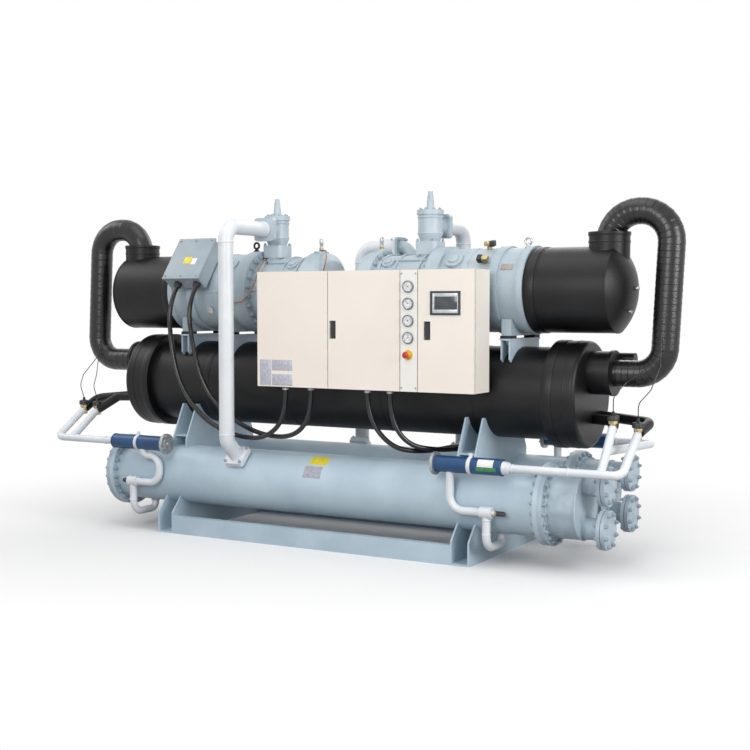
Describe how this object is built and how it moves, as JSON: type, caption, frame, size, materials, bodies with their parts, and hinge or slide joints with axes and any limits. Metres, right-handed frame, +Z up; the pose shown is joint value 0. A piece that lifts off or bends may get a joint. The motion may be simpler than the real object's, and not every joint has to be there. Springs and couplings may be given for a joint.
{
  "type": "water-cooled screw chiller",
  "caption": "Water-cooled chiller: screw compressors above an insulated evaporator and condenser shells, with a hinged control cabinet in front.",
  "frame": {"origin": "on the floor, at the middle of the anchor bolt pattern, below the evaporator's axis", "axes": "+X along the vessels to the water connections' end, +Y to the back, +Z up"},
  "size_m": [4.9443, 1.378, 2.48],
  "materials": {
    "painted_steel": "satin blue-grey paint",
    "white_pipe": "gloss white paint",
    "insulation": "matt closed-cell foam",
    "cabinet_cream": "smooth powder coat",
    "cabinet_white": "smooth powder coat",
    "drier_blue": "gloss paint",
    "brass": "cast and machined",
    "rubber": "matt",
    "galvanised": "galvanised sheet",
    "black_plastic": "moulded",
    "display_plastic": "moulded",
    "gauge_steel": "pressed steel case",
    "red_plastic": "moulded",
    "yellow_plastic": "moulded",
    "conduit": "corrugated conduit"
  },
  "bodies": {
    "chiller": {"base_rails": "painted_steel", "cabinet_body": "cabinet_cream", "cabinet_brackets": "painted_steel", "cabinet_glands": "galvanised", "compressor_feet": "painted_steel", "compressor_left": "painted_steel", "compressor_left_suction_cap": "insulation", "compressor_right": "painted_steel", "compressor_right_suction_cap": "insulation", "condenser_end_covers": "painted_steel", "condenser_front_shell": "painted_steel", "condenser_front_water_box": "painted_steel", "condenser_rear_shell": "painted_steel", "condenser_rear_water_box": "painted_steel", "conduit_left_inner": "conduit", "conduit_left_outer": "conduit", "conduit_right_inner": "conduit", "conduit_right_outer": "conduit", "discharge_pipe_left": "white_pipe", "discharge_pipe_right": "white_pipe", "discharge_valve_left": "painted_steel", "discharge_valve_right": "painted_steel", "emergency_stop_base": "yellow_plastic", "evaporator_head_left": "insulation", "evaporator_head_right": "insulation", "evaporator_inlets": "insulation", "evaporator_saddles": "painted_steel", "evaporator_shell": "insulation", "evaporator_water_nozzles": "insulation", "expansion_valves": "brass", "filter_drier_left": "drier_blue", "filter_drier_rear": "drier_blue", "filter_drier_right": "drier_blue", "gauge_panel": "cabinet_white", "isolation_pads": "rubber", "liquid_header_left": "white_pipe", "liquid_header_right": "white_pipe", "liquid_line_left": "white_pipe", "liquid_line_rear": "white_pipe", "liquid_line_right": "white_pipe", "mounting_plate": "galvanised", "pressure_gauges": "gauge_steel", "rear_gas_pipe": "white_pipe", "suction_pipe_left": "insulation", "suction_pipe_right": "insulation", "support_left": "painted_steel", "support_right": "painted_steel", "terminal_box_left": "painted_steel", "terminal_box_right": "painted_steel", "water_blind_flanges": "painted_steel"},
    "door_left": {"door_left": "cabinet_cream"},
    "door_middle": {"door_middle": "cabinet_cream"},
    "door_right": {"door_right": "cabinet_cream", "display": "display_plastic"},
    "door_middle_lever": {"door_middle_lever": "black_plastic"},
    "door_right_lever": {"door_right_lever": "black_plastic"},
    "emergency_stop_button": {"emergency_stop_button": "red_plastic"}
  },
  "joints": [
    {"name": "door_left_hinge", "type": "hinge", "parent": "chiller", "child": "door_left", "pos_m": [-0.371, -0.6, 1.52], "axis": [0, 0, -1], "range_deg": [0, 110]},
    {"name": "door_middle_hinge", "type": "hinge", "parent": "chiller", "child": "door_middle", "pos_m": [0.767, -0.6, 1.52], "axis": [0, 0, 1], "range_deg": [0, 110]},
    {"name": "door_right_hinge", "type": "hinge", "parent": "chiller", "child": "door_right", "pos_m": [1.307, -0.6, 1.52], "axis": [0, 0, 1], "range_deg": [0, 110]},
    {"name": "door_middle_lever_pivot", "type": "hinge", "parent": "door_middle", "child": "door_middle_lever", "pos_m": [0.251, -0.595, 1.568], "axis": [-1, 0, 0], "range_deg": [0, 50]},
    {"name": "door_right_lever_pivot", "type": "hinge", "parent": "door_right", "child": "door_right_lever", "pos_m": [0.971, -0.595, 1.568], "axis": [-1, 0, 0], "range_deg": [0, 50]},
    {"name": "emergency_stop_press", "type": "slide", "parent": "chiller", "child": "emergency_stop_button", "axis": [0, 1, 0], "range_m": [0, 0.004], "stiffness_N_per_m": 500}
  ]
}
